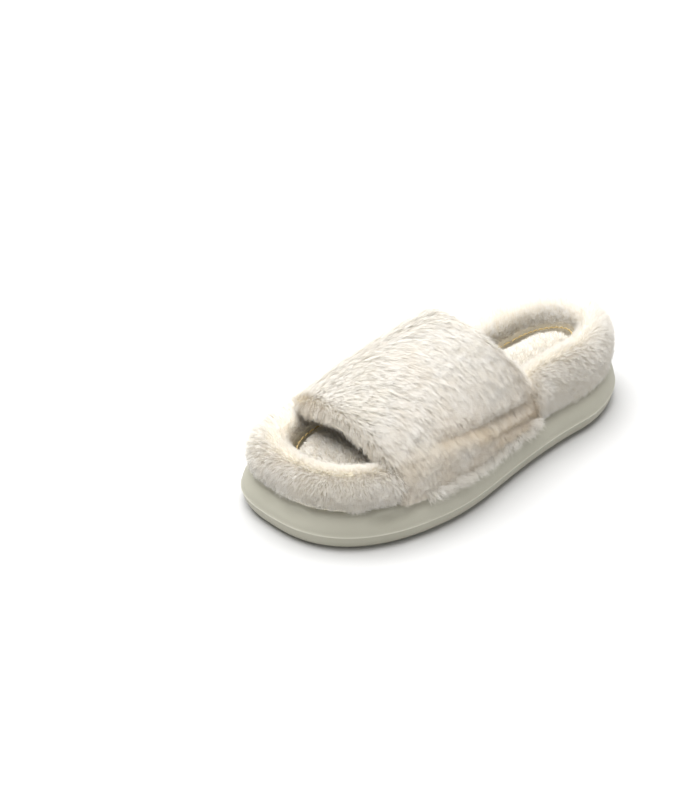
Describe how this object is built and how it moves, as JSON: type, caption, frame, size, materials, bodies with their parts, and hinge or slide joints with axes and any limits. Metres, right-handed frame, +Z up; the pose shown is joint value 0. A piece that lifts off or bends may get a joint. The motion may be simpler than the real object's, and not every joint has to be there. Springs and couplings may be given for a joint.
{
  "type": "fluffy house slipper",
  "caption": "Open-toe house slipper for the left foot: thick moulded foam sole, fur-covered rim round a plush footbed, and a wide padded fur strap over the instep.",
  "frame": {"origin": "centre of the bounding box on the ground plane, under the middle of the sole", "axes": "+Z up, -Y toward the toe, +Y toward the heel, +X toward the outer side of the left foot"},
  "size_m": [0.1198, 0.265, 0.097],
  "materials": {
    "moulded_foam": "cream closed-cell moulded foam, matt, with a fine parting line",
    "fibreboard": "tan insole fibreboard, dull",
    "soft_foam": "pale open-cell polyurethane foam",
    "plush_pile": "short dense cream plush pile",
    "rim_fur": "dense ivory faux fur, soft, tan at the roots",
    "strap_fur": "longer combed ivory faux fur with faint beige streaks",
    "lining_cloth": "smooth knitted lining, beige",
    "cotton_tape": "woven cotton stay tape",
    "sewing_thread": "golden-beige polyester thread"
  },
  "bodies": {
    "root": {"sole": "moulded_foam", "insole_board": "fibreboard", "footbed_foam": "soft_foam", "footbed_plush": "plush_pile", "rim_foam": "soft_foam", "toe_rim_cover": "rim_fur", "heel_rim_cover": "rim_fur", "strap_fur": "strap_fur", "strap_foam": "soft_foam", "strap_lining": "lining_cloth", "strap_front_tape": "cotton_tape", "strap_rear_tape": "cotton_tape", "sock_thread": "sewing_thread", "lasting_thread": "sewing_thread", "strap_front_thread": "sewing_thread", "strap_rear_thread": "sewing_thread"}
  },
  "joints": []
}
